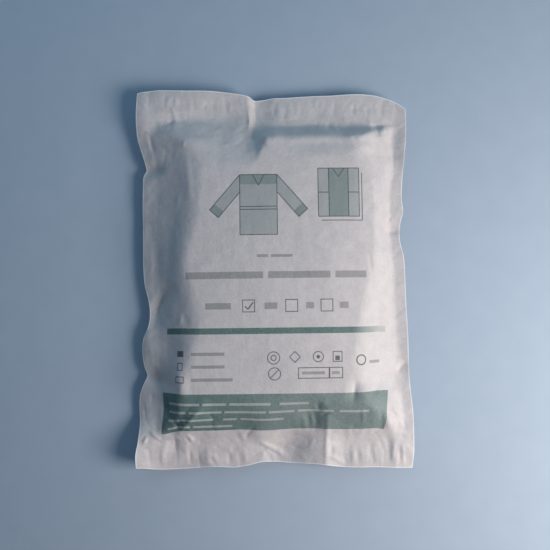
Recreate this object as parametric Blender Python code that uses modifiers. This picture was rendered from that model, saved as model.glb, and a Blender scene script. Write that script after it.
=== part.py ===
"""A sealed peel pouch that holds a folded surgical gown, lying on its back web.

The pouch is cut 300 x 420 mm. Two webs, printed paper in front and film behind, meet in a
sealed flange on all four sides, and the gown between them lifts the front web to 45 mm.
+Z is up and +Y runs to the top seal. The origin is the middle of the underside.
Every size and table column is in millimetres, and MM turns them into metres.
"""

import math

import bmesh
import bpy
import numpy as np

MM = 0.001
COLLECTION = "gown_pouch"

WALL = 1.0  # each web, thicker than the real 0.15 mm paper and film
SEAM_GAP = 0.3
LIE = 0.5 * SEAM_GAP  # from the seam's middle to each web

# Plan of the lying pouch without the waves of its edges: straight ends and a drawn-in waist.
LEFT_END, LEFT_WAIST = -146.0, -138.0
RIGHT_END, RIGHT_WAIST = 145.5, 140.5
BOTTOM, TOP = -202.0, 202.0
EDGE_FADE = 26.0  # how far in from an edge its waves die out
MIDDLE = (0.5, -1.0)  # of the outline with its waves, where the origin goes

# The sealed flange round the pouch, and the front web's crowned top.
HANG_CURVE = 1.4
SEAM_HEIGHT = 15.0
SEAM_LOWEST = 2.0
SHOULDER_HEIGHT, CROWN = 37.5, 7.0
SHOULDER_ROUNDING, HIP_ROUNDING, FOOT_ROUNDING = 0.30, 0.22, 0.16
BACK_RUN = 22.0  # the back web's slopes down to the table
LEVEL_BELOW = 1.001 * WALL  # the back web's inner face here lies level, so it is one face

# Where the webs part on each side, how far the front web's slope runs in from there, and how
# far the edge of the sealed flange beyond hangs.
# y, x of the foot, run, hang
LEFT_SLOPE = (
    (-202, -120, 26, -4), (-172, -120, 26, 0), (-150, -120, 27, 8), (-115, -122, 25, 8),
    (-93, -122, 29, 8), (-55, -122, 37, 8), (-30, -121, 35, 8), (8, -122, 28, 8),
    (27, -123, 30, 8), (55, -124, 38, 8), (95, -124, 42, 7), (130, -129, 46, 6),
    (155, -132, 46, 4), (202, -134, 46, 2),
)
# y, x of the foot, run, hang
RIGHT_SLOPE = (
    (-202, 127, 26, 2), (-172, 128, 26, 1), (-157, 131, 28, 0), (-141, 130, 28, 0),
    (-126, 129, 32, -1), (-110, 125, 38, -1), (-96, 128, 40, -2), (-67, 127, 36, -2),
    (-27, 125, 28, -2), (14, 125, 19, -1), (37, 123, 16, -1), (76, 123, 15, -1),
    (97, 124, 18, -2), (116, 130, 34, -3), (133, 129, 40, -3), (166, 130, 40, -2),
    (202, 130, 40, 1),
)
# x, y of the foot, run, hang
BOTTOM_SLOPE = (
    (-145, -163, 28, 8), (-115, -165, 30, 9), (-89, -168, 33, 8), (-60, -170, 38, 7),
    (-31, -168, 35, 6), (-11, -174, 38, 5), (10, -171, 40, 5), (26, -167, 40, 5),
    (52, -167, 37, 5), (73, -170, 36, 4), (101, -169, 34, 4), (140, -168, 30, 4),
)
# x, y of the foot, run, hang
TOP_SLOPE = (
    (-141, 148, 34, 4), (-129, 155, 34, 3), (-119, 161, 32, 1), (-108, 166, 30, 0),
    (-92, 167, 29, -2), (-50, 166.5, 40, -2), (-21, 166, 42, 0), (-15, 164, 37, 2),
    (-8, 161.5, 21, 4), (0, 160, 17, 4), (14, 159, 17, 4), (57, 160, 17, 3), (86, 157, 15, 2),
    (107, 158, 15, 3), (129, 159, 16, 4),
)

# The folded gown: rounded layers, one fold on another.
GOWN_CENTRE = (2.0, -4.0)
GOWN_HALF_WIDTH, GOWN_HALF_LENGTH = 112.0, 152.0
GOWN_TOP, GOWN_CROWN = 33.5, 5.5
GOWN_SHOULDER_IN, GOWN_FOOT_IN = 26.0, 24.0
SHOULDER_CURVE, FOOT_CURVE = 1.3, 1.5
GOWN_WIDEST_AT = 0.40  # share of its height
GOWN_CAP = (0.82, 0.5, 0.2)  # how far out the rings of its crowned top lie
GOWN_CORNER = 5.0  # exponent of the rounded rectangle
GOWN_LAYERS = 6
LAYER_GROOVE = 1.8
GOWN_AROUND = 48

# Grid lines across and along: cells near the edges, and wider ones in the middle.
FINE_CELL, WIDE_CELL = 6.0, 11.0
FINE_ZONE = 60.0
NARROWEST = FINE_CELL  # a fold's narrower side is at least one cell wide

# Each edge's real line in plan, from one end to the other.
# y, x
LEFT_EDGE = (
    (-202, -143.2), (-187, -143.4), (-171, -141.4), (-154, -141.0), (-137, -142.2),
    (-121, -140.8), (-111, -137.0), (-102, -133.4), (-95, -135.6), (-79, -138.4),
    (-64, -137.2), (-53, -132.5), (-40, -130.5), (-28, -130.9), (-19, -132.9),
    (-8, -135.8), (6, -137.1), (40, -137.4), (75, -137.9), (101, -137.2),
    (110, -136.4), (115, -133.8), (119, -134.4), (136, -139.4), (147, -142.6),
    (160, -143.6), (188, -143.2), (202, -142.6),
)
# y, x
RIGHT_EDGE = (
    (-202, 143.2), (-188, 144.6), (-157, 144.6), (-142, 144.2), (-126, 142.6),
    (-111, 141.4), (-95, 140.8), (-58, 140.4), (-32, 139.4), (-6, 139.0), (5, 138.8),
    (21, 137.8), (36, 134.8), (47, 134.6), (57, 136.0), (66, 138.2), (80, 137.2),
    (101, 138.2), (123, 140.6), (145, 142.8), (177, 143.6), (202, 143.6),
)
# x, y
BOTTOM_EDGE = (
    (-146, -196.2), (-138, -197.2), (-127, -199.2), (-110, -200.4), (-93, -200.0),
    (-60, -198.2), (-43, -199.2), (-26, -196.6), (-15, -194.0), (-1, -194.0),
    (16, -195.2), (33, -195.2), (50, -196.0), (66, -199.0), (108, -200.4),
    (128, -201.2), (145.5, -201.8),
)
# x, y
TOP_EDGE = (
    (-146, 197.0), (-143, 197.8), (-134, 199.0), (-91, 199.0), (-57, 197.8),
    (-40, 195.6), (-28, 193.4), (-22.5, 191.6), (-18.5, 190.2), (-9, 190.2), (2, 191.4),
    (12, 191.4), (38, 192.8), (64, 193.4), (99, 194.0), (110, 192.8), (120, 190.4),
    (130, 187.0), (138, 183.0), (145.5, 177.2),
)

# Folds that both webs share where they are sealed, and that the front web keeps above.
# Heading is turned from +X towards +Y. The widths are to the left and right of it, out to
# where the fold is nearly gone. Lift is up for a ridge and down for a trough.
FOLD_CREST = 0.35  # share of the narrower width that is rounded off at the crest
FOLD_CURVE = 1.5
# x, y, heading in degrees, length, left width, right width, lift
FOLDS = (
    (-18, 178, 94, 76, 4.5, 26, -6.5),
    (-23, 182, 94, 60, 26, 3.5, 2.0),
    (-17, 146, 100, 36, 18, 7, -4.0),
    (-60, 128, 180, 110, 14, 12, -1.5),
    (48, 137, 180, 120, 14, 9, -3.0),
    (-128, 114, 2, 34, 8, 9, -4.5),
    (-118, 62, 86, 80, 10, 10, 1.0),
    (-118, -29, 63, 58, 9, 10, -5.0),
    (-103, -40, 94, 60, 10, 14, 1.6),
    (-127, -76, 0, 34, 18, 18, 3.0),
    (-117, -109, 158, 48, 10, 12, -5.5),
    (-96, -106, 94, 40, 9, 9, 2.0),
    (-109, -137, 102, 40, 8, 10, -3.5),
    (-86, -147, 47, 58, 8, 16, 4.0),
    (-104, -172, 95, 34, 8, 8, -1.6),
    (-97, -176, 96, 36, 10, 14, 1.8),
    (-66, -192, 135, 30, 10, 10, 2.0),
    (-148, -190, 84, 92, 12, 56, 12.0),
    (-146, 184, 94, 84, 12, 74, 7.5),
    (7, -178, 62, 76, 26, 24, -5.5),
    (51, -188, 88, 120, 31, 16, 6.0),
    (39, -145, 92, 36, 16, 12, -4.0),
    (81, -118, 82, 34, 8, 9, -1.8),
    (110, -146, 90, 34, 8, 8, -2.5),
    (118, -182, 89, 44, 7, 5, -0.4),
    (124, -183, 90, 44, 5, 5, 0.7),
    (124, -138, 122, 40, 9, 7, 2.5),
    (133, -98, 35, 30, 6, 16, -2.5),
    (127, 49, 4, 40, 13, 28, -3.5),
    (108, 75, 90, 120, 22, 8, -2.5),
    (127, 141, 89, 62, 8, 11, -3.2),
    (112, 153, 95, 18, 6, 6, -3.0),
    (92, 143, 100, 44, 16, 40, 2.5),
    (-90, 184, 88, 40, 26, 26, 1.0),
    (60, 30, 86, 130, 30, 30, 1.2),
    (-30, -90, 160, 110, 30, 30, -1.2),
)


def through(table, at):
    """Smooth lines through the table's rows: each further column against the first."""
    knots, *columns = np.array(table, float).T
    i = np.clip(np.searchsorted(knots, at) - 1, 0, len(knots) - 2)
    span = knots[i + 1] - knots[i]
    t = np.clip((at - knots[i]) / span, 0, 1)
    lines = []
    for values in columns:
        slopes = np.gradient(values, knots)
        lines.append(
            values[i] * (1 + 2 * t) * (1 - t) ** 2
            + slopes[i] * span * t * (1 - t) ** 2
            + values[i + 1] * t**2 * (3 - 2 * t)
            + slopes[i + 1] * span * t**2 * (t - 1)
        )
    return lines if len(lines) > 1 else lines[0]


def least(a, b, rounding):
    """The smaller of a and b, rounded where they cross."""
    share = np.clip(0.5 + 0.5 * (b - a) / rounding, 0, 1)
    return b + (a - b) * share - rounding * share * (1 - share)


def grid_lines(low, high):
    """Grid lines from low to high, finer near both ends."""
    fine = np.arange(0, FINE_ZONE, FINE_CELL)
    middle = math.ceil((high - low - 2 * FINE_ZONE) / WIDE_CELL)
    wide = np.linspace(low + FINE_ZONE, high - FINE_ZONE, middle + 1)
    return np.concatenate([low + fine, wide, high - fine[::-1]])


def waisted(end, waist, y):
    """A side of the pouch in plan, drawn in towards the middle of its length."""
    middle = 0.5 * (BOTTOM + TOP)
    along = (y - middle) / (TOP - middle)
    return waist + (end - waist) * along**2


def fade(distance):
    """How much of an edge's wave is left at a distance from it."""
    return np.exp(-((distance / EDGE_FADE) ** 2))


def plan_grid():
    """Where each grid point lies in plan: rows along the pouch, columns across it."""
    across = (grid_lines(LEFT_END, RIGHT_END) - LEFT_END) / (RIGHT_END - LEFT_END)
    share, y = np.meshgrid(across, grid_lines(BOTTOM, TOP))
    left, right = waisted(LEFT_END, LEFT_WAIST, y), waisted(RIGHT_END, RIGHT_WAIST, y)
    x = left + (right - left) * share
    end_x = LEFT_END + (RIGHT_END - LEFT_END) * share
    return (
        x
        + fade(x - left) * (through(LEFT_EDGE, y) - left)
        + fade(right - x) * (through(RIGHT_EDGE, y) - right),
        y
        + fade(y - BOTTOM) * (through(BOTTOM_EDGE, end_x) - BOTTOM)
        + fade(TOP - y) * (through(TOP_EDGE, end_x) - TOP),
    )


def sides(x, y):
    """For each side: distance in from the foot, run of the slope, width and hang of the flange."""
    for table, along, at, edge, inwards in (
        (LEFT_SLOPE, y, x, LEFT_END, 1),
        (RIGHT_SLOPE, y, x, RIGHT_END, -1),
        (BOTTOM_SLOPE, x, y, BOTTOM, 1),
        (TOP_SLOPE, x, y, TOP, -1),
    ):
        foot, run, hang = through(table, along)
        yield inwards * (at - foot), run, inwards * (foot - edge), hang


def rise(x, y, run_of_all=None):
    """0 on the flange and 1 past the slopes, with rounded feet, hips and shoulders."""
    left, right, bottom, top = (
        inside / (run_of_all or run) for inside, run, flange, hang in sides(x, y)
    )
    height = least(
        least(left, right, HIP_ROUNDING), least(bottom, top, HIP_ROUNDING), HIP_ROUNDING
    )
    return -least(-least(height, 1.0, SHOULDER_ROUNDING), 0.0, FOOT_ROUNDING)


def folds(x, y):
    """The height that the folds add: a rounded crease that tapers to both its ends."""
    height = np.zeros_like(x)
    for fold_x, fold_y, heading, length, left_width, right_width, lift in FOLDS:
        turn = math.radians(heading)
        along = (x - fold_x) * math.cos(turn) + (y - fold_y) * math.sin(turn)
        across = (y - fold_y) * math.cos(turn) - (x - fold_x) * math.sin(turn)
        width = np.maximum(np.where(across > 0, left_width, right_width), NARROWEST)
        crest = FOLD_CREST * max(min(left_width, right_width), NARROWEST)
        out = (np.hypot(across, crest) - crest) / width
        taper = np.clip(1 - (2 * along / length) ** 2, 0, 1) ** 1.5
        height += lift * taper * np.clip(1 - out, 0, 1) ** FOLD_CURVE
    return height


def crown(x, y):
    """The height that the gown's rounded top adds at the middle."""
    across = np.clip(np.abs(x - GOWN_CENTRE[0]) / GOWN_HALF_WIDTH, 0, 1)
    along = np.clip(np.abs(y - GOWN_CENTRE[1]) / GOWN_HALF_LENGTH, 0, 1)
    return CROWN * (1 - across**2) * (1 - along**2)


def seam_height(x, y):
    """The sealed flange's height: level at the foot line, and hanging down beyond it."""
    height = np.full_like(x, SEAM_HEIGHT)
    for inside, run, flange, hang in sides(x, y):
        height -= hang * np.clip(-inside / flange, 0, 1) ** HANG_CURVE
    return height


def webs_inner_faces():
    """Points of the front and back web, one above the other on the sealed flange."""
    x, y = plan_grid()
    front_rise, back_rise = rise(x, y), rise(x, y, BACK_RUN)
    seam, folded = seam_height(x, y), folds(x, y)
    ceiling = SHOULDER_HEIGHT - WALL + crown(x, y)
    floor = WALL + LIE
    front_z = seam * (1 - front_rise) + ceiling * front_rise + folded
    back_z = (seam + folded) * (1 - back_rise) + floor * back_rise
    front = np.stack([x, y, np.maximum(front_z, SEAM_LOWEST)], axis=-1)
    back = np.stack([x, y, np.maximum(back_z, floor)], axis=-1)
    on_flange = back_rise[..., None] == 0
    back = np.where(on_flange, front, back)
    return front + LIE * normals(front), back - LIE * normals(back)


def normals(points):
    """The upward normal at each grid point."""
    found = np.cross(np.gradient(points, axis=1), np.gradient(points, axis=0))
    return found / np.linalg.norm(found, axis=-1, keepdims=True)


def material(name, colour, roughness):
    """A plain finish of one colour."""
    made = bpy.data.materials.new(name)
    made.use_nodes = True
    shader = made.node_tree.nodes["Principled BSDF"]
    shader.inputs["Base Color"].default_value = (*colour, 1.0)
    shader.inputs["Roughness"].default_value = roughness
    shader.inputs["Metallic"].default_value = 0.0
    return made


def link(obj, finish):
    """Gives an object its finish and puts it in the pouch's collection."""
    obj.data.materials.append(finish)
    obj.data.shade_smooth()
    bpy.data.collections[COLLECTION].objects.link(obj)
    return obj


def placed(points):
    """The points in metres from the origin, under the middle of the lying outline."""
    return (np.asarray(points) - (*MIDDLE, 0.0)) * MM


def web(name, points, outward, finish):
    """A wall over the grid of points, which are its inner face. Outward is 1 up, -1 down."""
    rows, columns = points.shape[:2]
    shape = bmesh.new()
    bmesh.ops.create_grid(shape, x_segments=columns - 1, y_segments=rows - 1, size=1.0)
    shape.verts.ensure_lookup_table()
    order = sorted(shape.verts, key=lambda v: (round(v.co.y, 5), round(v.co.x, 5)))
    for vertex, point in zip(order, placed(points.reshape(-1, 3))):
        vertex.co = point
    level = [f for f in shape.faces if max(v.co.z for v in f.verts) < LEVEL_BELOW * MM]
    if level:
        bmesh.ops.dissolve_faces(shape, faces=level, use_verts=True)
    quads = [f for f in shape.faces if len(f.verts) == 4]
    bmesh.ops.triangulate(shape, faces=quads, quad_method="FIXED")
    mesh = bpy.data.meshes.new(name)
    shape.to_mesh(mesh)
    shape.free()
    wall = bpy.data.objects.new(name, mesh)
    solid = wall.modifiers.new("wall", "SOLIDIFY")
    solid.thickness = WALL * MM
    solid.offset = outward
    return link(wall, finish)


def gown_ring(z_share, groove):
    """One closed ring of the folded gown at a share of its height."""
    base = WALL + SEAM_GAP
    if z_share < GOWN_WIDEST_AT:
        inset = GOWN_FOOT_IN * (1 - z_share / GOWN_WIDEST_AT) ** FOOT_CURVE
    else:
        above = (z_share - GOWN_WIDEST_AT) / (1 - GOWN_WIDEST_AT)
        inset = GOWN_SHOULDER_IN * above**SHOULDER_CURVE
    ring = []
    for k in range(GOWN_AROUND):
        angle = 2 * math.pi * k / GOWN_AROUND
        reach = [
            math.copysign(abs(part) ** (2 / GOWN_CORNER), part)
            for part in (math.cos(angle), math.sin(angle))
        ]
        ring.append((
            GOWN_CENTRE[0] + (GOWN_HALF_WIDTH - inset - groove) * reach[0],
            GOWN_CENTRE[1] + (GOWN_HALF_LENGTH - inset - groove) * reach[1],
            base + (GOWN_TOP - base) * z_share,
        ))
    return ring


def gown_rings():
    """Rings from the underside up: a groove under each layer, then its rounded edge."""
    rings = []
    for layer in range(GOWN_LAYERS):
        for share, groove in ((0.0, LAYER_GROOVE), (0.25, 0.0), (0.75, 0.0)):
            rings.append(gown_ring((layer + share) / GOWN_LAYERS, groove))
    shoulder = gown_ring(1.0, LAYER_GROOVE)
    rings.append(shoulder)
    centre_x, centre_y = GOWN_CENTRE
    for share in GOWN_CAP:
        rings.append([
            (
                centre_x + (x - centre_x) * share,
                centre_y + (y - centre_y) * share,
                z + GOWN_CROWN * (1 - share**2),
            )
            for x, y, z in shoulder
        ])
    return rings


def folded_gown(finish):
    """The gown as one rounded stack, lofted ring by ring."""
    shape = bmesh.new()
    rings = [
        [shape.verts.new(point) for point in placed(ring)]
        for ring in gown_rings()
    ]
    for low, high in zip(rings, rings[1:]):
        for k in range(GOWN_AROUND):
            after = (k + 1) % GOWN_AROUND
            shape.faces.new((low[k], low[after], high[after], high[k]))
    shape.faces.new(rings[0][::-1])
    shape.faces.new(rings[-1])
    mesh = bpy.data.meshes.new("folded_gown")
    shape.to_mesh(mesh)
    shape.free()
    return link(bpy.data.objects.new("folded_gown", mesh), finish)


def main():
    """Builds the pouch and the gown in it."""
    for obj in list(bpy.data.objects):
        bpy.data.objects.remove(obj)
    bpy.context.scene.collection.children.link(bpy.data.collections.new(COLLECTION))

    paper = material("printed_paper", (0.66, 0.65, 0.67), 0.62)
    film = material("back_film", (0.60, 0.66, 0.70), 0.30)
    fabric = material("gown_fabric", (0.16, 0.33, 0.52), 0.80)

    front, back = webs_inner_faces()
    web("front_web", front, 1.0, paper)
    web("back_web", back, -1.0, film)
    folded_gown(fabric)


main()
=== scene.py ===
"""The looks of a sealed peel pouch that holds a folded surgical gown.

Three pieces stand for the three solids: the printed paper web, the film web under it, and
the folded gown between them. Sizes and table columns are in millimetres, and MM turns them
into metres. +Z is up and +Y runs to the top seal.
"""

import math

import bpy
import numpy as np
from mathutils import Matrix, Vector


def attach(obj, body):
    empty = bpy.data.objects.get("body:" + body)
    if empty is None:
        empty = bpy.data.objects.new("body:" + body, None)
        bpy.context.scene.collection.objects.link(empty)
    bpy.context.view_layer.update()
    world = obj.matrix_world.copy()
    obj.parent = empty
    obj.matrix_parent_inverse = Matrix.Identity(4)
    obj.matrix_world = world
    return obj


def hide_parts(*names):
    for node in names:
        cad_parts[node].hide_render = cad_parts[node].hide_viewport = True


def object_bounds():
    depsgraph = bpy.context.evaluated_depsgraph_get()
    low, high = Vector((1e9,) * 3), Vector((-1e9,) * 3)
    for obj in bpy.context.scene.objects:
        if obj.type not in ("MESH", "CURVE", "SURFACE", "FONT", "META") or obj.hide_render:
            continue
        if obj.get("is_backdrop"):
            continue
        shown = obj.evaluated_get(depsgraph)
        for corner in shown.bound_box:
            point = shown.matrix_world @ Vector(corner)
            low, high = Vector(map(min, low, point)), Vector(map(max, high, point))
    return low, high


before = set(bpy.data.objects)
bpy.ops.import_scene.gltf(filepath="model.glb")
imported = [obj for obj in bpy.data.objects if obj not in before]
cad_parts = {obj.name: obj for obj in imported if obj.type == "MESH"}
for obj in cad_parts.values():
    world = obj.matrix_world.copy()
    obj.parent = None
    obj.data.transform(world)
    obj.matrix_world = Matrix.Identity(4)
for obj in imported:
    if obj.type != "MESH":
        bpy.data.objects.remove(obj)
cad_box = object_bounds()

MM = 0.001

# Camera of the photo: it looks almost straight down.
CAMERA_AZIMUTH, CAMERA_ELEVATION = -0.7, 87.0
CAMERA_DISTANCE = 700.0
CAMERA_AIM = (1.4, -3.1, 10.0)
LENS, SENSOR = 43.2, 36.0
SHIFT_UP = 0.01

# Thin webs, and the sealed flange where they lie on each other.
PAPER, FILM = 0.3, 0.2
LIE = 0.02  # half of the gap between them

# Plan of the lying pouch without the waves of its edges: straight ends and a drawn-in waist.
LEFT_END, LEFT_WAIST = -146.0, -138.0
RIGHT_END, RIGHT_WAIST = 145.5, 140.5
BOTTOM, TOP = -202.0, 202.0
EDGE_FADE = 26.0  # how far in from an edge its waves die out
MIDDLE = (0.5, -1.0)  # of the outline with its waves, where the origin goes

# The sealed flange round the pouch, and the front web's crowned top.
HANG_CURVE = 1.4
SEAM_HEIGHT = 15.0
SEAM_LOWEST = 1.6  # the flange stays this far above the floor
SHOULDER_HEIGHT, CROWN = 37.5, 7.0
SHOULDER_ROUNDING, HIP_ROUNDING, FOOT_ROUNDING = 0.30, 0.22, 0.16
BACK_RUN = 22.0  # the film's slopes down to the floor
SHARP_ANGLE = 60  # degrees between faces from which an edge is drawn sharp

# Where the webs part on each side, how far the front web's slope runs in from there, and how
# far the edge of the flange beyond hangs.
# y, x of the foot, run, hang
LEFT_SLOPE = (
    (-202, -120, 26, -4), (-172, -120, 26, 0), (-150, -120, 27, 8), (-115, -122, 25, 8),
    (-93, -122, 29, 8), (-55, -122, 37, 8), (-30, -121, 35, 8), (8, -122, 28, 8),
    (27, -123, 30, 8), (55, -124, 38, 8), (95, -124, 42, 7), (130, -129, 46, 6),
    (155, -132, 46, 4), (202, -134, 46, 2),
)
# y, x of the foot, run, hang
RIGHT_SLOPE = (
    (-202, 127, 26, 2), (-172, 128, 26, 1), (-157, 131, 28, 0), (-141, 130, 28, 0),
    (-126, 129, 32, -1), (-110, 125, 38, -1), (-96, 128, 40, -2), (-67, 127, 36, -2),
    (-27, 125, 28, -2), (14, 125, 19, -1), (37, 123, 16, -1), (76, 123, 15, -1),
    (97, 124, 18, -2), (116, 130, 34, -3), (133, 129, 40, -3), (166, 130, 40, -2),
    (202, 130, 40, 1),
)
# x, y of the foot, run, hang
BOTTOM_SLOPE = (
    (-145, -163, 28, 8), (-115, -165, 30, 9), (-89, -168, 33, 8), (-60, -170, 38, 7),
    (-31, -168, 35, 6), (-11, -174, 38, 5), (10, -171, 40, 5), (26, -167, 40, 5),
    (52, -167, 37, 5), (73, -170, 36, 4), (101, -169, 34, 4), (140, -168, 30, 4),
)
# x, y of the foot, run, hang
TOP_SLOPE = (
    (-141, 148, 34, 4), (-129, 155, 34, 3), (-119, 161, 32, 1), (-108, 166, 30, 0),
    (-92, 167, 29, -2), (-50, 166.5, 40, -2), (-21, 166, 42, 0), (-15, 164, 37, 2),
    (-8, 161.5, 21, 4), (0, 160, 17, 4), (14, 159, 17, 4), (57, 160, 17, 3), (86, 157, 15, 2),
    (107, 158, 15, 3), (129, 159, 16, 4),
)

# The folded gown.
GOWN_CENTRE = (2.0, -4.0)
GOWN_HALF_WIDTH, GOWN_HALF_LENGTH = 112.0, 152.0
GOWN_BASE, GOWN_TOP, GOWN_CROWN = 0.8, 33.5, 5.5
GOWN_SHOULDER_IN, GOWN_FOOT_IN = 26.0, 24.0
SHOULDER_CURVE, FOOT_CURVE = 1.3, 1.5
GOWN_WIDEST_AT = 0.40
GOWN_CORNER = 5.0
GOWN_LAYERS = 6
GOWN_AROUND = 144
FOLD_RINGS = 8  # rings round one layer's rounded edge
FOLD_BULGE = 2.2
LAYER_SHIFT = 0.8
TOP_RINGS, INNERMOST_RING = 40, 0.02
DENT_SIZE, DENT_DEPTH = 30.0, 0.5
DENTS_FROM = 1.0  # below the top's edge
GOWN_SEED = 5

# Grid lines: fine near the edges and on the slopes, wider in the middle.
FINE_CELL, WIDE_CELL_ACROSS, WIDE_CELL_ALONG = 1.4, 1.6, 2.2
FINE_ZONE = 66.0

# y, x
LEFT_EDGE = (
    (-202, -143.2), (-187, -143.4), (-171, -141.4), (-154, -141.0), (-137, -142.2),
    (-121, -140.8), (-111, -137.0), (-102, -133.4), (-95, -135.6), (-79, -138.4),
    (-64, -137.2), (-53, -132.5), (-40, -130.5), (-28, -130.9), (-19, -132.9),
    (-8, -135.8), (6, -137.1), (40, -137.4), (75, -137.9), (101, -137.2),
    (110, -136.4), (115, -133.8), (119, -134.4), (136, -139.4), (147, -142.6),
    (160, -143.6), (188, -143.2), (202, -142.6),
)
# y, x
RIGHT_EDGE = (
    (-202, 143.2), (-188, 144.6), (-157, 144.6), (-142, 144.2), (-126, 142.6),
    (-111, 141.4), (-95, 140.8), (-58, 140.4), (-32, 139.4), (-6, 139.0), (5, 138.8),
    (21, 137.8), (36, 134.8), (47, 134.6), (57, 136.0), (66, 138.2), (80, 137.2),
    (101, 138.2), (123, 140.6), (145, 142.8), (177, 143.6), (202, 143.6),
)
# x, y
BOTTOM_EDGE = (
    (-146, -196.2), (-138, -197.2), (-127, -199.2), (-110, -200.4), (-93, -200.0),
    (-60, -198.2), (-43, -199.2), (-26, -196.6), (-15, -194.0), (-1, -194.0),
    (16, -195.2), (33, -195.2), (50, -196.0), (66, -199.0), (108, -200.4),
    (128, -201.2), (145.5, -201.8),
)
# x, y
TOP_EDGE = (
    (-146, 197.0), (-143, 197.8), (-134, 199.0), (-91, 199.0), (-57, 197.8),
    (-40, 195.6), (-28, 193.4), (-22.5, 191.6), (-18.5, 190.2), (-9, 190.2), (2, 191.4),
    (12, 191.4), (38, 192.8), (64, 193.4), (99, 194.0), (110, 192.8), (120, 190.4),
    (130, 187.0), (138, 183.0), (145.5, 177.2),
)

# The main folds, then the finer creases of the limp paper. Heading is turned from +X towards
# +Y, and the widths are to the left and right of it. Lift is up or, below zero, down.
FOLD_CREST, CREASE_CREST = 0.35, 0.15  # share of the narrower width that is rounded off
FOLD_CURVE = 1.5  # how hollow a fold's two sides are
TAPER_CURVE = 1.5  # how soon it dies out towards its ends
# x, y, heading in degrees, length, left width, right width, lift
FOLDS = (
    (-18, 178, 94, 76, 4.5, 26, -6.5),
    (-23, 182, 94, 60, 26, 3.5, 2.0),
    (-17, 146, 100, 36, 18, 7, -4.0),
    (-60, 128, 180, 110, 14, 12, -1.5),
    (48, 137, 180, 120, 14, 9, -3.0),
    (-128, 114, 2, 34, 8, 9, -4.5),
    (-118, 62, 86, 80, 10, 10, 1.0),
    (-118, -29, 63, 58, 9, 10, -5.0),
    (-103, -40, 94, 60, 10, 14, 1.6),
    (-127, -76, 0, 34, 18, 18, 3.0),
    (-117, -109, 158, 48, 10, 12, -5.5),
    (-96, -106, 94, 40, 9, 9, 2.0),
    (-109, -137, 102, 40, 8, 10, -3.5),
    (-86, -147, 47, 58, 8, 16, 4.0),
    (-104, -172, 95, 34, 8, 8, -1.6),
    (-97, -176, 96, 36, 10, 14, 1.8),
    (-66, -192, 135, 30, 10, 10, 2.0),
    (-148, -190, 84, 92, 12, 56, 12.0),
    (-146, 184, 94, 84, 12, 74, 7.5),
    (7, -178, 62, 76, 26, 24, -5.5),
    (51, -188, 88, 120, 31, 16, 6.0),
    (39, -145, 92, 36, 16, 12, -4.0),
    (81, -118, 82, 34, 8, 9, -1.8),
    (110, -146, 90, 34, 8, 8, -2.5),
    (118, -182, 89, 44, 7, 5, -0.4),
    (124, -183, 90, 44, 5, 5, 0.7),
    (124, -138, 122, 40, 9, 7, 2.5),
    (133, -98, 35, 30, 6, 16, -2.5),
    (127, 49, 4, 40, 13, 28, -3.5),
    (108, 75, 90, 120, 22, 8, -2.5),
    (127, 141, 89, 62, 8, 11, -3.2),
    (112, 153, 95, 18, 6, 6, -3.0),
    (92, 143, 100, 44, 16, 40, 2.5),
    (-90, 184, 88, 40, 26, 26, 1.0),
    (60, 30, 86, 130, 30, 30, 1.2),
    (-30, -90, 160, 110, 30, 30, -1.2),
)
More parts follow.
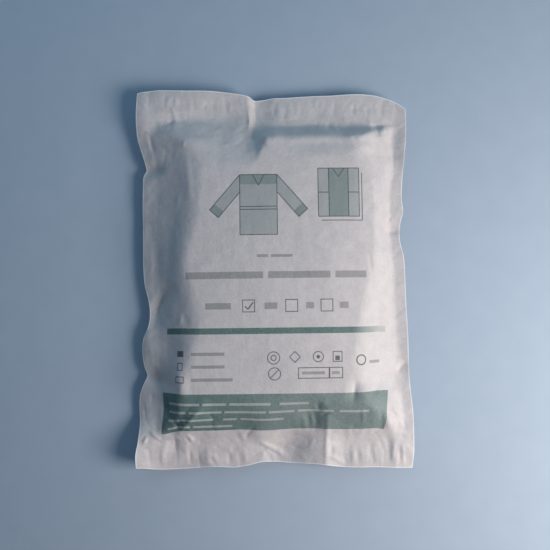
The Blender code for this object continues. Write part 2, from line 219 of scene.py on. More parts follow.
# x, y, heading in degrees, length, left width, right width, lift
CREASES = (
    (-23, 164, 88, 34, 4, 3, 1.6),
    (-12, 134, 20, 14, 4, 3, -1.4),
    (-9, 139, 110, 22, 3, 5, -1.2),
    (-128, 143, 100, 24, 3, 4, -1.2),
    (-91, 138, 60, 10, 3, 3, 0.8),
    (-107, 165, 25, 10, 3, 3, -1.2),
    (-126, 112, 0, 20, 3, 3, -1.2),
    (-86, 100, 95, 60, 9, 5, 0.8),
    (-106, 30, 84, 60, 6, 6, -0.8),
    (-128, 20, 92, 50, 5, 5, 0.7),
    (-90, -44, 120, 18, 5, 5, -0.8),
    (-120, -34, 70, 36, 4, 4, -1.0),
    (-130, -58, 20, 20, 4, 4, 0.9),
    (-128, -125, 90, 16, 3, 3, -1.2),
    (-134, -168, 65, 10, 2.5, 2.5, 1.9),
    (-124, -164, 146, 16, 2.5, 2.5, 2.0),
    (-108, -166, 178, 24, 3, 3, 1.8),
    (-88, -167, 125, 13, 3, 4, 2.4),
    (-99, -152, 60, 16, 3, 3, -1.4),
    (-90, -155, 140, 14, 3, 3, 1.0),
    (-109, -136, 103, 30, 3, 4, -1.2),
    (-102, -150, 123, 24, 3, 4, -2.0),
    (-87, -148, 47, 42, 3, 3, 1.6),
    (-64, -143, 120, 11, 2.5, 2.5, -1.2),
    (-101, -164, 2, 30, 4, 4, 1.2),
    (-89, -166, 45, 10, 3, 3, -1.0),
    (-104, -172, 92, 20, 3, 3, -0.8),
    (-92, -179, 91, 32, 3, 3, 0.5),
    (-89, -188, 92, 20, 3, 3, -0.8),
    (-116, -184, 84, 30, 4, 4, 0.9),
    (-130, -186, 96, 22, 3, 3, -0.8),
    (-26, -160, 50, 18, 3, 3, -1.2),
    (-34, -165, 110, 20, 4, 4, 0.8),
    (-65, -192, 130, 14, 3, 3, -1.2),
    (-48, -189, 92, 16, 3, 4, -1.2),
    (-4, -179, 149, 40, 3, 4, 1.5),
    (38, -150, 95, 22, 3, 4, 0.9),
    (52, -141, 24, 13, 2.5, 2.5, -1.6),
    (44, -134, 118, 15, 2.5, 3, -1.6),
    (47, -133, 150, 14, 3, 3, -1.3),
    (50, -130, 40, 12, 3, 3, 1.0),
    (38, -146, 106, 18, 2.5, 3, 1.2),
    (30, -150, 100, 26, 4, 4, 0.9),
    (53, -170, 88, 66, 3, 4, 1.4),
    (58, -182, 82, 18, 3, 3, -1.1),
    (82, -188, 95, 24, 4, 4, 0.8),
    (99, -184, 86, 28, 4, 4, -0.8),
    (81, -118, 83, 22, 3, 5, -1.2),
    (90, -145, 94, 20, 3, 3, 1.1),
    (109, -144, 90, 16, 3, 3, -1.2),
    (124, -137, 121, 20, 3, 3, 1.3),
    (122, -144, 135, 22, 3, 3, -1.2),
    (131, -155, 107, 14, 3, 3, 1.0),
    (118, -182, 92, 28, 3, 3, -0.4),
    (123, -184, 87, 28, 2.5, 2.5, 0.8),
    (129, -182, 90, 22, 2.5, 2.5, -0.5),
    (133, -188, 93, 26, 2.5, 2.5, 0.8),
    (133, -96, 45, 14, 3, 3, -1.2),
    (123, 59, 45, 12, 2.5, 2.5, -1.6),
    (114, 83, 93, 42, 3, 4, 1.1),
    (127, 46, 4, 24, 3, 3, -1.4),
    (100, 8, 97, 26, 3, 4, -0.9),
    (112, 149, 100, 9, 2.5, 3, -1.4),
    (124, 149, 88, 14, 2.5, 2.5, 1.4),
    (101, 132, 150, 30, 4, 4, 0.8),
    (92, 146, 40, 26, 4, 4, -0.8),
    (68, 156, 96, 18, 3, 3, 0.9),
    (61, 158, 84, 16, 3, 3, -0.9),
    (129, 122, 88, 30, 3, 3, -1.0),
)

# Straight puckers of the flanges, side by side and unevenly spaced.
# x and y of the first, x and y of the last, mean heading, length, mean pitch, lift
PUCKERS = (
    (-132, 186, -28, 182, 92, 22, 8.0, 0.42),
    (-4, 178, 134, 176, 88, 22, 8.5, 0.42),
    (-134, -188, 10, -186, 91, 18, 9.0, 0.40),
    (66, -190, 136, -190, 89, 20, 8.0, 0.42),
    (-133, -150, -129, 110, 178, 12, 15.0, 0.35),
    (134, -120, 133, 150, 2, 12, 14.0, 0.35),
)
PUCKER_WIDTH = 3.2
PUCKER_SHIFT, PUCKER_TURN = 4, 9  # most that one is off its mean place and heading
PUCKER_SIZES, PUCKER_LIFTS = (0.6, 1.3), (0.3, 1.4)  # least and most shares of the mean

# Crumples strewn over a region.
# lowest x, lowest y, highest x, highest y, count, longest, widest, highest lift
CRUMPLES = (
    (-138, 130, 138, 196, 70, 30, 4.5, 0.55),
    (-138, -196, 138, -148, 80, 30, 4.5, 0.60),
    (-138, -190, -88, 190, 90, 34, 5.0, 0.55),
    (96, -190, 140, 190, 70, 30, 4.5, 0.50),
    (-95, -155, 105, 140, 110, 55, 9.0, 0.28),
)
CRUMPLE_SEED = 12
SHORTEST, NARROWEST = 0.3, 0.4  # shares of the longest and the widest

# Cockle of the paper as smooth noise.
# size of a blob, height on the slopes and flanges, share of it left on the gown's top
COCKLE = (
    (42, 0.55, 0.7),
    (17, 0.35, 0.5),
    (7, 0.12, 0.6),
)
COCKLE_SEED = 40


def through(table, at):
    """Smooth lines through the table's rows: each further column against the first."""
    knots, *columns = np.array(table, float).T
    i = np.clip(np.searchsorted(knots, at) - 1, 0, len(knots) - 2)
    span = knots[i + 1] - knots[i]
    t = np.clip((at - knots[i]) / span, 0, 1)
    lines = []
    for values in columns:
        slopes = np.gradient(values, knots)
        lines.append(
            values[i] * (1 + 2 * t) * (1 - t) ** 2
            + slopes[i] * span * t * (1 - t) ** 2
            + values[i + 1] * t**2 * (3 - 2 * t)
            + slopes[i + 1] * span * t**2 * (t - 1)
        )
    return lines if len(lines) > 1 else lines[0]


def least(a, b, rounding):
    """The smaller of a and b, rounded where they cross."""
    share = np.clip(0.5 + 0.5 * (b - a) / rounding, 0, 1)
    return b + (a - b) * share - rounding * share * (1 - share)


def grid_lines(low, high, wide_cell):
    """Grid lines from low to high, finer near both ends."""
    fine = np.arange(0, FINE_ZONE, FINE_CELL)
    middle = math.ceil((high - low - 2 * FINE_ZONE) / wide_cell)
    wide = np.linspace(low + FINE_ZONE, high - FINE_ZONE, middle + 1)
    return np.concatenate([low + fine, wide, high - fine[::-1]])


def waisted(end, waist, y):
    """A side of the pouch in plan, drawn in towards the middle of its length."""
    middle = 0.5 * (BOTTOM + TOP)
    along = (y - middle) / (TOP - middle)
    return waist + (end - waist) * along**2


def fade(distance):
    """How much of an edge's wave is left at a distance from it."""
    return np.exp(-((distance / EDGE_FADE) ** 2))


def plan_grid():
    """Where each grid point lies in plan: rows along the pouch, columns across it."""
    columns = grid_lines(LEFT_END, RIGHT_END, WIDE_CELL_ACROSS)
    across = (columns - LEFT_END) / (RIGHT_END - LEFT_END)
    share, y = np.meshgrid(across, grid_lines(BOTTOM, TOP, WIDE_CELL_ALONG))
    left, right = waisted(LEFT_END, LEFT_WAIST, y), waisted(RIGHT_END, RIGHT_WAIST, y)
    x = left + (right - left) * share
    end_x = LEFT_END + (RIGHT_END - LEFT_END) * share
    return (
        x
        + fade(x - left) * (through(LEFT_EDGE, y) - left)
        + fade(right - x) * (through(RIGHT_EDGE, y) - right),
        y
        + fade(y - BOTTOM) * (through(BOTTOM_EDGE, end_x) - BOTTOM)
        + fade(TOP - y) * (through(TOP_EDGE, end_x) - TOP),
    )


def sides(x, y):
    """For each side: distance in from the foot, run of the slope, width and hang of the flange."""
    for table, along, at, edge, inwards in (
        (LEFT_SLOPE, y, x, LEFT_END, 1),
        (RIGHT_SLOPE, y, x, RIGHT_END, -1),
        (BOTTOM_SLOPE, x, y, BOTTOM, 1),
        (TOP_SLOPE, x, y, TOP, -1),
    ):
        foot, run, hang = through(table, along)
        yield inwards * (at - foot), run, inwards * (foot - edge), hang


def rise(x, y, run_of_all=None):
    """0 on the flange and 1 past the slopes, with rounded feet, hips and shoulders."""
    left, right, bottom, top = (
        inside / (run_of_all or run) for inside, run, flange, hang in sides(x, y)
    )
    height = least(
        least(left, right, HIP_ROUNDING), least(bottom, top, HIP_ROUNDING), HIP_ROUNDING
    )
    return -least(-least(height, 1.0, SHOULDER_ROUNDING), 0.0, FOOT_ROUNDING)


def folds(x, y, table, crest_share=CREASE_CREST):
    """The height that a table's folds add: rounded creases that taper to both ends."""
    height = np.zeros_like(x)
    for fold_x, fold_y, heading, length, left_width, right_width, lift in table:
        turn = math.radians(heading)
        along = (x - fold_x) * math.cos(turn) + (y - fold_y) * math.sin(turn)
        across = (y - fold_y) * math.cos(turn) - (x - fold_x) * math.sin(turn)
        width = np.where(across > 0, left_width, right_width)
        crest = crest_share * min(left_width, right_width)
        out = (np.hypot(across, crest) - crest) / width
        taper = np.clip(1 - (2 * along / length) ** 2, 0, 1) ** TAPER_CURVE
        height += lift * taper * np.clip(1 - out, 0, 1) ** FOLD_CURVE
    return height


def puckers(draw):
    """Rows for the flanges' puckers, each a little off its mean place, turn and height."""
    rows = []
    for x0, y0, x1, y1, heading, length, pitch, lift in PUCKERS:
        count = round(math.hypot(x1 - x0, y1 - y0) / pitch)
        for k in range(count):
            share = (k + draw.uniform(0.0, 0.9)) / count
            rows.append((
                x0 + (x1 - x0) * share,
                y0 + (y1 - y0) * share + draw.uniform(-PUCKER_SHIFT, PUCKER_SHIFT),
                heading + draw.uniform(-PUCKER_TURN, PUCKER_TURN),
                length * draw.uniform(*PUCKER_SIZES),
                PUCKER_WIDTH * draw.uniform(*PUCKER_SIZES),
                PUCKER_WIDTH * draw.uniform(*PUCKER_SIZES),
                lift * draw.uniform(*PUCKER_LIFTS) * (1 if k % 2 else -1),
            ))
    return rows


def crumples(draw):
    """Rows for the short creases that handling leaves all over."""
    rows = []
    for x0, y0, x1, y1, count, longest, widest, highest in CRUMPLES:
        for _ in range(count):
            rows.append((
                draw.uniform(x0, x1),
                draw.uniform(y0, y1),
                draw.uniform(0, 180),
                longest * draw.uniform(SHORTEST, 1.0),
                widest * draw.uniform(NARROWEST, 1.0),
                widest * draw.uniform(NARROWEST, 1.0),
                highest * draw.uniform(-1.0, 1.0),
            ))
    return rows


def smooth_noise(x, y, size, draw):
    """Gradient noise from about -1 to 1, in blobs of a size."""
    cells = 64
    angle = draw.uniform(0, 2 * math.pi, (cells, cells))
    u, v = x / size + 0.5 * cells, y / size + 0.5 * cells
    i, j = np.floor(u).astype(int), np.floor(v).astype(int)
    u, v = u - i, v - j

    def corner(di, dj):
        turn = angle[(i + di) % cells, (j + dj) % cells]
        return np.cos(turn) * (u - di) + np.sin(turn) * (v - dj)

    su, sv = (w**3 * (w * (6 * w - 15) + 10) for w in (u, v))
    low = corner(0, 0) * (1 - su) + corner(1, 0) * su
    high = corner(0, 1) * (1 - su) + corner(1, 1) * su
    return 1.5 * (low * (1 - sv) + high * sv)


def cockle(x, y, front_rise):
    """The paper's uneven waves, weaker where the gown fills it out."""
    draw = np.random.default_rng(COCKLE_SEED)
    height = np.zeros_like(x)
    for size, lift, left_on_top in COCKLE:
        share = 1 + (left_on_top - 1) * np.clip(front_rise, 0, 1)
        height += lift * share * smooth_noise(x, y, size, draw)
    return height


def crown(x, y):
    """The height that the gown's rounded top adds at the middle."""
    across = np.clip(np.abs(x - GOWN_CENTRE[0]) / GOWN_HALF_WIDTH, 0, 1)
    along = np.clip(np.abs(y - GOWN_CENTRE[1]) / GOWN_HALF_LENGTH, 0, 1)
    return CROWN * (1 - across**2) * (1 - along**2)


def seam_height(x, y):
    """The sealed flange's height: level at the foot line, and hanging down beyond it."""
    height = np.full_like(x, SEAM_HEIGHT)
    for inside, run, flange, hang in sides(x, y):
        height -= hang * np.clip(-inside / flange, 0, 1) ** HANG_CURVE
    return height


def normals(points):
    """The upward normal at each grid point."""
    found = np.cross(np.gradient(points, axis=1), np.gradient(points, axis=0))
    return found / np.linalg.norm(found, axis=-1, keepdims=True)


def flat_places(x, y, z):
    """Where each grid point lies on the web laid flat, measured along the surface."""
    def along_surface(places, axis):
        length = np.hypot(np.diff(places, axis=axis), np.diff(z, axis=axis))
        return np.insert(np.cumsum(length, axis=axis), 0, 0, axis=axis)

    u, v = along_surface(x, 1), along_surface(y, 0)
    column = np.abs(x[x.shape[0] // 2]).argmin()
    row = np.abs(y[:, y.shape[1] // 2]).argmin()
    u += x[:, [column]] - u[:, [column]]
    v += y[[row]] - v[[row]]
    return u, v


def webs():
    """Inner faces of the paper and the film, and the fields that their finish reads."""
    x, y = plan_grid()
    draw = np.random.default_rng(CRUMPLE_SEED)
    front_rise, back_rise = rise(x, y), rise(x, y, BACK_RUN)
    seam = seam_height(x, y)
    ceiling = SHOULDER_HEIGHT - PAPER + crown(x, y)
    floor = FILM + LIE
    smooth_z = seam * (1 - front_rise) + ceiling * front_rise
    folded = folds(x, y, FOLDS, FOLD_CREST)
    fine = folds(x, y, CREASES) + folds(x, y, puckers(draw)) + folds(x, y, crumples(draw))
    folded += fine + cockle(x, y, front_rise)
    front_z = smooth_z + folded
    back_z = (seam + folded) * (1 - back_rise) + floor * back_rise
    front = np.stack([x, y, np.maximum(front_z, SEAM_LOWEST)], axis=-1)
    back = np.stack([x, y, np.maximum(back_z, floor)], axis=-1)
    back = np.where(back_rise[..., None] == 0, front, back)
    flat = np.stack([*flat_places(x, y, smooth_z), np.zeros_like(x)], axis=-1)
    from_side = np.minimum(x - x[:, :1], x[:, -1:] - x)
    from_end = np.minimum(y - y[:1], y[-1:] - y)
    fields = {
        "flat": flat,
        "edge": np.minimum(from_side, from_end),
        "slack": 1 - np.clip(front_rise, 0, 1),
    }
    return front + LIE * normals(front), back - LIE * normals(back), fields


def placed(points):
    """The points in metres from the origin, under the middle of the lying outline."""
    return (np.asarray(points) - (*MIDDLE, 0.0)) * MM


def web(name, inner, thickness, fields):
    """A closed thin sheet whose inner face is the grid of points. Thickness below 0 is down."""
    rows, columns = inner.shape[:2]
    outer = inner + thickness * normals(inner)
    grid = np.arange(rows * columns).reshape(rows, columns)
    if thickness > 0:
        low, high = grid, grid + rows * columns
    else:
        low, high = grid + rows * columns, grid
    top = [high[:-1, :-1], high[:-1, 1:], high[1:, 1:], high[1:, :-1]]
    bottom = [low[:-1, :-1], low[1:, :-1], low[1:, 1:], low[:-1, 1:]]
    faces = [np.stack(side, axis=-1).reshape(-1, 4) for side in (top, bottom)]
    for cut, turned in (
        (np.s_[0, :], False), (np.s_[:, -1], False), (np.s_[-1, :], True), (np.s_[:, 0], True)
    ):
        below, above = (level[cut][::-1] if turned else level[cut] for level in (low, high))
        faces.append(np.stack([below[:-1], below[1:], above[1:], above[:-1]], axis=-1))
    mesh = bpy.data.meshes.new(name)
    points = placed(np.concatenate([inner.reshape(-1, 3), outer.reshape(-1, 3)]))
    mesh.from_pydata(points.tolist(), [], np.concatenate(faces).tolist())
    for field, values in fields.items():
        kind, key = ("FLOAT_VECTOR", "vector") if values.ndim == 3 else ("FLOAT", "value")
        attribute = mesh.attributes.new(field, kind, "POINT")
        attribute.data.foreach_set(key, np.tile(values.ravel(), 2).astype(np.float32))
    mesh.shade_smooth()
    mesh.set_sharp_from_angle(angle=math.radians(SHARP_ANGLE))
    return add(name, mesh)


def gown_ring(share, bulge, shift):
    """One ring of the folded gown at a share of its height."""
    if share < GOWN_WIDEST_AT:
        inset = GOWN_FOOT_IN * (1 - share / GOWN_WIDEST_AT) ** FOOT_CURVE
    else:
        above = (share - GOWN_WIDEST_AT) / (1 - GOWN_WIDEST_AT)
        inset = GOWN_SHOULDER_IN * above**SHOULDER_CURVE
    angle = np.linspace(0, 2 * math.pi, GOWN_AROUND, endpoint=False)
    reach = [
        np.sign(part) * np.abs(part) ** (2 / GOWN_CORNER)
        for part in (np.cos(angle), np.sin(angle))
    ]
    x = GOWN_CENTRE[0] + shift[0] + (GOWN_HALF_WIDTH - inset - bulge) * reach[0]
    y = GOWN_CENTRE[1] + shift[1] + (GOWN_HALF_LENGTH - inset - bulge) * reach[1]
    z = np.full_like(x, GOWN_BASE + (GOWN_TOP - GOWN_BASE) * share)
    return np.stack([x, y, z], axis=-1)


def gown_stack():
    """The folded gown: rounded folds one on another, under a crowned and dented top."""
    draw = np.random.default_rng(GOWN_SEED)
    rings = []
    for layer in range(GOWN_LAYERS):
        shift = draw.uniform(-LAYER_SHIFT, LAYER_SHIFT, 2)
        for ring in range(FOLD_RINGS):
            round_it = math.sin(math.pi * ring / FOLD_RINGS)
            share = (layer + ring / FOLD_RINGS) / GOWN_LAYERS
            rings.append(gown_ring(share, FOLD_BULGE * (1 - math.sqrt(round_it)), shift))
    shoulder = gown_ring(1.0, FOLD_BULGE, (0, 0))
    centre = np.array([*GOWN_CENTRE, GOWN_TOP])
    for share in np.linspace(1, INNERMOST_RING, TOP_RINGS):
        ring = centre + (shoulder - centre) * share
        ring[:, 2] += GOWN_CROWN * (1 - share**2)
        rings.append(ring)
    points = np.array(rings)
    dents = np.minimum(smooth_noise(points[..., 0], points[..., 1], DENT_SIZE, draw), 0)
    points[..., 2] += DENT_DEPTH * dents * (points[..., 2] > GOWN_TOP - DENTS_FROM)
    count = len(points)
    here = np.arange(count * GOWN_AROUND).reshape(count, GOWN_AROUND)
    after = np.roll(here, -1, axis=1)
    walls = np.stack([here[:-1], after[:-1], after[1:], here[1:]], axis=-1)
    faces = walls.reshape(-1, 4).tolist()
    faces += [here[0][::-1].tolist(), here[-1].tolist()]
    mesh = bpy.data.meshes.new("gown_stack")
    mesh.from_pydata(placed(points.reshape(-1, 3)).tolist(), [], faces)
    mesh.shade_smooth()
    return add("gown_stack", mesh)


def add(name, mesh):
    """An object in the scene for the mesh."""
    obj = bpy.data.objects.new(name, mesh)
    bpy.context.scene.collection.objects.link(obj)
    return obj


class Material:
    """A procedural material, built node by node. A value is a number, a colour or a socket."""

    def __init__(self, name, roughness):
        self.made = bpy.data.materials.new(name)
        self.made.use_nodes = True
        self.tree = self.made.node_tree
        self.shader = self.tree.nodes["Principled BSDF"]
        self.shader.inputs["Roughness"].default_value = roughness

    def put(self, socket, value):
        if isinstance(value, bpy.types.NodeSocket):
            self.tree.links.new(value, socket)
        elif value is not None:
            socket.default_value = value

    def add(self, kind, *values, output=0, named=None, **settings):
        """A node with its inputs filled in order, then by name. Returns one output."""
        node = self.tree.nodes.new("ShaderNode" + kind)
        for key, value in settings.items():
            setattr(node, key, value)
        for socket, value in zip(node.inputs, values):
            self.put(socket, value)
        for key, value in (named or {}).items():
            self.put(node.inputs[key], value)
        return node.outputs[output]

    def math(self, operation, *values):
        return self.add("Math", *values, operation=operation)

    def product(self, first, *others):
        for other in others:
            first = self.math("MULTIPLY", first, other)
        return first

    def most(self, masks):
        """Where any of the masks is."""
        first, *others = masks
        for other in others:
            first = self.math("MAXIMUM", first, other)
        return first

    def noise(self, place, scale, detail=2.0, roughness=0.5, distortion=0.0):
        named = {"Vector": place, "Scale": scale, "Detail": detail,
                 "Roughness": roughness, "Distortion": distortion}
        return self.add("TexNoise", named=named, normalize=True)

    def between(self, value, low, high, to_low=0.0, to_high=1.0):
        """The value's place between low and high, as a number from to_low to to_high."""
        return self.add("MapRange", value, low, high, to_low, to_high)

    def stretched(self, place, scale, turn=0.0):
        """The place turned about +Z and scaled along each axis."""
        named = {"Vector": place, "Rotation": (0, 0, math.radians(turn)), "Scale": scale}
        return self.add("Mapping", named=named, vector_type="TEXTURE")

    def mix(self, share, first, second, blend="MIX"):
        node = self.tree.nodes.new("ShaderNodeMix")
        node.data_type = "RGBA"
        node.blend_type = blend
        for index, value in ((0, share), (6, first), (7, second)):
            self.put(node.inputs[index], value)
        return node.outputs[2]

    def bump(self, height, distance, normal=None, strength=1.0):
        named = {"Height": height, "Distance": distance * MM, "Strength": strength}
        if normal:
            named["Normal"] = normal
        return self.add("Bump", named=named)

    def finish(self, colour, normal=None, roughness=None):
        self.put(self.shader.inputs["Base Color"], colour)
        self.put(self.shader.inputs["Roughness"], roughness)
        self.put(self.shader.inputs["Normal"], normal)
        return self.made


class Print:
    """Masks of the printed shapes, in millimetres on the web laid flat."""

    def __init__(self, material, place):
        self.m = material
        self.place = place
        parts = material.tree.nodes.new("ShaderNodeSeparateXYZ")
        material.put(parts.inputs[0], place)
        self.u, self.v = parts.outputs[0], parts.outputs[1]

    def box(self, x, y, width, height):
        """A filled upright rectangle."""
        m = self.m
        return m.product(
            m.math("COMPARE", self.u, x, 0.5 * width), m.math("COMPARE", self.v, y, 0.5 * height)
        )

    def leaning(self, low, high, left, right):
        """A filled band whose ends lean: x of each at the low and at the high edge."""
        m = self.m
        past_left = m.math("GREATER_THAN", self.u, m.between(self.v, low, high, *left))
        before_right = m.math("LESS_THAN", self.u, m.between(self.v, low, high, *right))
        middle, half = 0.5 * (low + high), 0.5 * (high - low)
        return m.product(past_left, before_right, m.math("COMPARE", self.v, middle, half))

    def frame(self, x, y, width, height, line):
        """The outline of an upright rectangle."""
        outer = self.box(x, y, width + line, height + line)
        inner = self.box(x, y, width - line, height - line)
        return self.m.math("SUBTRACT", outer, inner)

    def bar(self, x0, y0, x1, y1, width):
        """A filled rectangle along a line from one point to another."""
        m = self.m
        length = math.hypot(x1 - x0, y1 - y0)
        along = ((x1 - x0) / length, (y1 - y0) / length)
        masks = []
        for direction, reach in ((along, length), ((-along[1], along[0]), width)):
            middle = 0.5 * ((x0 + x1) * direction[0] + (y0 + y1) * direction[1])
            distance = m.add(
                "VectorMath", self.place, (*direction, 0), operation="DOT_PRODUCT", output=1
            )
            masks.append(m.math("COMPARE", distance, middle, 0.5 * reach))
        return m.product(*masks)

    def ring(self, x, y, radius, line):
        """A circle's outline, or a disc where the line is as wide as the circle."""
        m = self.m
        distance = m.add("VectorMath", self.place, (x, y, 0), operation="DISTANCE", output=1)
        return m.math("COMPARE", distance, radius - 0.5 * line, 0.5 * line)

    def words(self, rows, height):
        """Plain bars in place of words: left end and length of each, row by row."""
        return self.m.most([
            self.box(left + 0.5 * length, y, length, height)
            for y, marks in rows
            for left, length in marks
        ])


# Colours, as linear shares of light.
PAPER_WHITE = (0.72, 0.695, 0.70, 1)
PAPER_GREY = (0.62, 0.60, 0.605, 1)
FIBRE_WHITE = (0.86, 0.86, 0.86, 1)
INK = (0.10, 0.115, 0.12, 1)
GREEN = (0.085, 0.185, 0.172, 1)
GREEN_TINT = (0.30, 0.365, 0.365, 1)
# painted highlight: the colour of the cut edge where it catches the light
EDGE_HIGHLIGHT_WHITE = (0.95, 0.97, 1.0, 1)
FILM_DEEP, FILM_PALE = (0.50, 0.58, 0.63, 1), (0.60, 0.67, 0.72, 1)
CLOTH_DEEP, CLOTH_PALE = (0.055, 0.20, 0.42, 1), (0.085, 0.27, 0.50, 1)
CLOTH_BOND = (0.05, 0.17, 0.36, 1)
FLOOR_DEEP, FLOOR_PALE = (0.43, 0.54, 0.66, 1), (0.45, 0.56, 0.68, 1)
SKY = (0.62, 0.74, 1.0, 1)

EDGE_HIGHLIGHT_WIDTH = 0.9  # width of the painted highlight along the cut edge, where the edge catches the light
LINE, TICK_LINE = 0.9, 1.3  # the print's thin lines, and the tick's
WORD_TONE, LIGHT_WORD_TONE = 0.55, 0.6  # how strong the bars are that stand for words
TINT_TONE, DEEP_TONE = 0.62, 0.45  # how strong the pictures' tinted and deep areas are
WORN_TONE = 0.82  # what is left of the ink where it has rubbed off

# Rows of greeked words: height of the row, then left end and length of each word.
TITLE_ROWS = ((0.0, ((-89, 79), (-5, 63), (63, 32))),)
SIZE_ROWS = ((-31.2, ((-69, 26), (-9, 13), (33, 8), (67, 9))),)
CAPTION_ROWS = ((19.4, ((-16, 11), (-2, 22))),)
DATA_ROWS = (
    (-79.4, ((-84, 34),)),
    (-92.3, ((-84, 34),)),
    (-105.4, ((-84, 42),)),
)
SYMBOL_ROWS = (
    (-99.3, ((28, 23), (58, 8))),
    (-89.4, ((98, 13),)),
)
BLOCK_ROWS = (
    (-130.4, ((-112, 36), (-73, 24), (-46, 42), (5, 30))),
    (-139.4, ((-112, 22), (-87, 33), (-51, 42), (-6, 26), (24, 36), (66, 30))),
    (-148.6, ((-111, 48), (-53, 14), (-35, 44))),
    (-157.6, ((-111, 24), (-84, 40))),
)
# height of the bars, then their rows
DARK_WORDS = (
    (7.0, TITLE_ROWS), (6.4, SIZE_ROWS), (2.8, CAPTION_ROWS), (3.2, DATA_ROWS), (3.0, SYMBOL_ROWS),
)
BLOCK_WORD_HEIGHT = 2.6

# Plain symbols: x, y, width, height
SYMBOL_BOXES = ((-96.5, -79.4, 8, 6), (64, -84.5, 4.6, 4.6))
SYMBOL_FRAMES = (
    (-96.5, -92.3, 6, 7), (-96.5, -105.4, 9, 6), (64, -83, 9, 10),
    (39.8, -99.3, 31, 10.6), (62.4, -99.3, 13, 10.6),
)
# x, y, radius, line
SYMBOL_RINGS = (
    (-0.5, -83.8, 6.6, LINE), (-0.5, -83.8, 3.0, LINE), (0.3, -99.9, 6.6, LINE),
    (44.5, -83, 5.6, LINE), (44.5, -83, 1.8, 1.8), (88.5, -87, 5.6, 1.4),
)
# x, y to x, y
SYMBOL_LINES = (
    (-4.0, -104.2, 4.6, -95.6), (15.5, -83, 21, -77.5), (21, -77.5, 26.5, -83),
    (26.5, -83, 21, -88.5), (21, -88.5, 15.5, -83),
)
TICK_BOXES = ((-25, -31.2, 12), (18.4, -31.2, 12), (54, -31.2, 12))  # x, y, side
TICK = ((-28.6, -31.5, -25.8, -34.6), (-25.8, -34.6, -20.4, -27.6))  # x, y to x, y
GREEN_BAR = (2.7, -56.4, 236, 6.2)  # x, y, width, height
# heights of its low and high edge, then x of its left and of its right end at each
GREEN_BLOCK = (-163.0, -119.8, (-118, -122), (112.5, 121.5))
# painted sheen, the green lighter towards the lit right where the light glints on the ink: from x
# to x, and the ink's strength at both
BAR_SHEEN_FADE = (80, 114, 1.0, 0.3)
BLOCK_SHEEN_FADE = (-80, 30, 1.0, 0.84)

# The drawing of an open gown with its sleeves down, and of a folded one beside it.
# x, y, width, height
GOWN_BODY = (-14, 72, 38, 62)
GOWN_YOKE = (-14, 98, 38, 10)
# x, y to x, y and width
GOWN_SLEEVES = ((-28.5, 99.1, -59.5, 63.1, 12), (0.5, 99.1, 31.5, 63.1, 12))
GOWN_CUFFS = ((-54.3, 69.2, -59.5, 63.1, 12), (26.3, 69.2, 31.5, 63.1, 12))
# x, y to x, y
GOWN_LINES = (
    (-33, 41, -33, 103), (5, 41, 5, 103), (-33, 41, 5, 41), (-33, 103, 5, 103),
    (-33, 70, 5, 70), (-33, 67, 5, 67), (-20, 103, -14, 92), (-8, 103, -14, 92),
    (-33, 103, -64, 67), (-64, 67, -55, 59), (-55, 59, -33, 85),
    (5, 103, 36, 67), (36, 67, 27, 59), (27, 59, 5, 85),
)
FOLDED_BODY = (68, 84, 42, 50)
FOLDED_PANEL = (68, 84, 20, 50)
FOLDED_LINES = (
    (47, 59, 47, 109), (89, 59, 89, 109), (47, 59, 89, 59), (47, 109, 89, 109),
    (58, 59, 58, 109), (78, 59, 78, 109), (47, 84, 58, 84), (78, 84, 89, 84),
    (62, 109, 68, 100), (74, 109, 68, 100), (50, 55, 92, 55), (92, 55, 92, 104),
)

FLOOR_HALF = 3.0  # metres
SKY_STRENGTH = 0.12
# Soft square lights, in metres and watts: name, place, aim, size, power, colour
LIGHTS = (
    ("key", (0.69, -0.25, 0.54), (0.0, 0.0, 0.02), 0.48, 7.45, (1.0, 0.91, 0.865)),
    ("fill", (-0.5, 0.9, 1.0), (0.0, 0.0, 0.0), 1.0, 2.75, (0.44, 0.77, 1.0)),
    ("back", (0.85, 1.9, 0.85), (0.0, 0.0, 0.02), 1.3, 3.6, (0.32, 0.82, 1.0)),
)


def printed(material, place):
    """Masks of the dark lines, the green areas with a painted sheen towards their right, the
    tinted and deep areas, and the light words.
    """
    draw = Print(material, place)
    words = [draw.words(rows, height) for height, rows in DARK_WORDS]
    dark = [draw.box(*box) for box in SYMBOL_BOXES]
    dark += [draw.frame(*box, LINE) for box in SYMBOL_FRAMES]
    dark += [draw.ring(*ring) for ring in SYMBOL_RINGS]
    dark += [draw.frame(x, y, side, side, LINE) for x, y, side in TICK_BOXES]
    dark += [draw.bar(*line, TICK_LINE) for line in TICK]
    dark += [draw.bar(*line, LINE) for line in SYMBOL_LINES + GOWN_LINES + FOLDED_LINES]
    # Painted sheen: the green bar and block grow lighter towards the right, where the light glints
    # on the ink.
    block_sheen = material.between(draw.u, *BLOCK_SHEEN_FADE)
    bar_sheen = material.between(draw.u, *BAR_SHEEN_FADE)
    green = [
        material.product(draw.box(*GREEN_BAR), bar_sheen),
        material.product(draw.leaning(*GREEN_BLOCK), block_sheen),
    ]
    tint = [draw.box(*GOWN_BODY), draw.box(*FOLDED_BODY)]
    tint += [draw.bar(*sleeve) for sleeve in GOWN_SLEEVES]
    deep = [draw.box(*GOWN_YOKE), draw.box(*FOLDED_PANEL)]
    deep += [draw.bar(*cuff) for cuff in GOWN_CUFFS]
    most = material.most
    dark = material.math("MAXIMUM", most(dark), material.product(most(words), WORD_TONE))
    light = material.product(draw.words(BLOCK_ROWS, BLOCK_WORD_HEIGHT), LIGHT_WORD_TONE)
    return dark, most(green), most(tint), most(deep), light


def inked(m, sheet, place, worn):
    """The bare sheet's colour with the print on it, rubbed off where it is worn, and the green
    lightened by its painted sheen.
    """
    dark, green, tint, deep, light = printed(m, place)
    colour = m.mix(m.product(tint, TINT_TONE), sheet, GREEN_TINT)
    colour = m.mix(m.product(deep, DEEP_TONE), colour, GREEN)
    colour = m.mix(m.product(green, worn), colour, GREEN)
    colour = m.mix(m.product(light, green), colour, PAPER_WHITE)
    return m.mix(m.product(dark, worn), colour, INK)


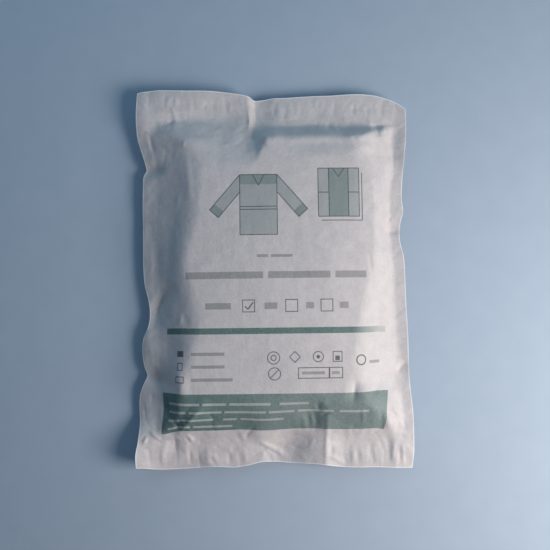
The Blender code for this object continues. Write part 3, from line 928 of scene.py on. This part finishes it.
def paper_bumps(m, place, fibre):
    """Flat facets where the paper is slack, then its cockle, its fibres and its grain."""
    slack = m.add("Attribute", attribute_name="slack", output="Fac")
    warp = m.add("TexNoise", named={"Vector": place, "Scale": 0.09}, output="Color")
    warped = m.add("VectorMath", warp, (14, 14, 0), place, operation="MULTIPLY_ADD")
    facets = m.add(
        "TexVoronoi", named={"Vector": m.stretched(warped, (13, 30, 1), 6), "Scale": 1.0},
        voronoi_dimensions="2D", output="Distance",
    )
    bumps = m.bump(m.product(facets, m.between(slack, 0.0, 1.0, 0.3, 1.0)), 0.3)
    bumps = m.bump(m.noise(place, 0.22, 4.0, 0.6, 0.4), 0.35, bumps)
    bumps = m.bump(fibre, 0.05, bumps)
    return m.bump(m.noise(place, 1.6, 2.0), 0.04, bumps)


def paper_material():
    """Fibrous off-white paper, mottled and matte, with its print and a painted highlight along its
    cut edge.
    """
    m = Material("printed_paper", 0.6)
    place = m.add("Attribute", attribute_name="flat", output="Vector")
    cloud = m.noise(place, 0.09, 3.0, 0.6)
    mottle = m.noise(place, 0.45, 3.0, 0.65)
    fibre_a = m.noise(m.stretched(place, (0.5, 5.0, 1), 14), 1.0, 3.0, 0.6, 0.6)
    fibre_b = m.noise(m.stretched(place, (0.5, 4.2, 1), -58), 1.0, 3.0, 0.6, 0.6)
    fibre = m.math("ADD", fibre_a, fibre_b)
    tone = m.math("ADD", m.product(cloud, 0.5), m.product(mottle, 0.5))
    sheet = m.mix(m.between(tone, 0.38, 0.62), PAPER_GREY, PAPER_WHITE)
    sheet = m.mix(m.between(fibre, 0.8, 1.2, 0.0, 0.12), sheet, FIBRE_WHITE)
    rubbed = m.math("ADD", mottle, m.product(fibre_a, 0.6))
    colour = inked(m, sheet, place, m.between(rubbed, 0.55, 1.05, 1.0, WORN_TONE))
    edge = m.add("Attribute", attribute_name="edge", output="Fac")
    # Painted highlight: a thin near-white line along the cut edge, standing for the light it
    # catches.
    colour = m.mix(m.math("LESS_THAN", edge, EDGE_HIGHLIGHT_WIDTH), colour, EDGE_HIGHLIGHT_WHITE)
    rough = m.between(mottle, 0.3, 0.7, 0.52, 0.68)
    return m.finish(colour, paper_bumps(m, place, fibre), rough)


def film_material():
    """Plain milky film with a satin face."""
    m = Material("back_film", 0.3)
    place = m.add("Attribute", attribute_name="flat", output="Vector")
    haze = m.noise(place, 0.05, 3.0, 0.6)
    colour = m.mix(m.between(haze, 0.3, 0.7), FILM_DEEP, FILM_PALE)
    rough = m.between(m.noise(place, 0.4, 2.0), 0.3, 0.7, 0.24, 0.38)
    return m.finish(colour, m.bump(m.noise(place, 0.3, 3.0), 0.15), rough)


def gown_material():
    """Blue nonwoven cloth with rows of small bond points."""
    m = Material("gown_fabric", 0.85)
    place = m.add("TexCoord", output="Object")
    points = m.add("TexVoronoi", named={"Vector": place, "Scale": 600.0, "Randomness": 0.15})
    bond = m.between(points, 0.15, 0.35)
    haze = m.noise(place, 60.0, 3.0, 0.6)
    colour = m.mix(m.between(haze, 0.3, 0.7), CLOTH_DEEP, CLOTH_PALE)
    colour = m.mix(m.product(bond, 0.3), CLOTH_BOND, colour)
    bumps = m.bump(bond, 0.12)
    bumps = m.bump(m.noise(place, 350.0, 3.0), 0.15, bumps)
    return m.finish(colour, bumps)


def floor_material():
    """A plain pale matte floor."""
    m = Material("floor", 0.75)
    place = m.add("TexCoord", output="Object")
    grain = m.noise(place, 40.0, 4.0)
    return m.finish(m.mix(m.between(grain, 0.3, 0.7), FLOOR_DEEP, FLOOR_PALE))


def dress(piece, node, material):
    """The piece stands for its solid, rides on the pouch and gets its finish."""
    piece.data.materials.append(material)
    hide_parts(node)
    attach(piece, "root")
    return piece


def floor():
    """A wide plain floor that the pouch lies on."""
    mesh = bpy.data.meshes.new("floor")
    turns = ((-1, -1), (1, -1), (1, 1), (-1, 1))
    mesh.from_pydata([(x * FLOOR_HALF, y * FLOOR_HALF, 0) for x, y in turns], [], [(0, 1, 2, 3)])
    plane = add("floor", mesh)
    plane.data.materials.append(floor_material())
    plane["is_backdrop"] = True


def area_light(name, place, aim, size, power, colour):
    """A soft square light that looks at a point. Places and size are in metres."""
    data = bpy.data.lights.new(name, "AREA")
    data.size = size
    data.energy = power
    data.color = colour
    lamp = add(name, data)
    lamp.location = place
    lamp.rotation_euler = (Vector(aim) - Vector(place)).to_track_quat("-Z", "Y").to_euler()


def lights():
    """A soft key light low on the right, and weak cool light from behind and all round."""
    for light in LIGHTS:
        area_light(*light)
    world = bpy.data.worlds.new("studio")
    world.use_nodes = True
    sky = world.node_tree.nodes["Background"]
    sky.inputs["Color"].default_value = SKY
    sky.inputs["Strength"].default_value = SKY_STRENGTH
    bpy.context.scene.world = world
    bpy.context.scene.view_settings.view_transform = "Standard"


def camera():
    turn, rise_angle = math.radians(CAMERA_AZIMUTH), math.radians(CAMERA_ELEVATION)
    back = Vector((
        math.sin(turn) * math.cos(rise_angle),
        -math.cos(turn) * math.cos(rise_angle),
        math.sin(rise_angle),
    ))
    data = bpy.data.cameras.new("camera")
    data.lens = LENS
    data.sensor_width = SENSOR
    data.shift_y = SHIFT_UP
    eye = add("camera", data)
    eye.location = (Vector(CAMERA_AIM) + back * CAMERA_DISTANCE) * MM
    eye.rotation_euler = (-back).to_track_quat("-Z", "Y").to_euler()
    bpy.context.scene.camera = eye


def main():
    """Dresses the pouch, and sets the floor, the lights and the camera."""
    front, back, fields = webs()
    gown = dress(gown_stack(), "folded_gown", gown_material())
    paper = web("front_paper", front, PAPER, fields)
    dress(paper, "front_web", paper_material())
    film = web("back_sheet", back, -FILM, fields)
    dress(film, "back_web", film_material())

    floor()
    lights()
    camera()


main()
corners = {"cad": cad_box, "visual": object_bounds()}
{name: [list(c) for c in box] for name, box in corners.items()}
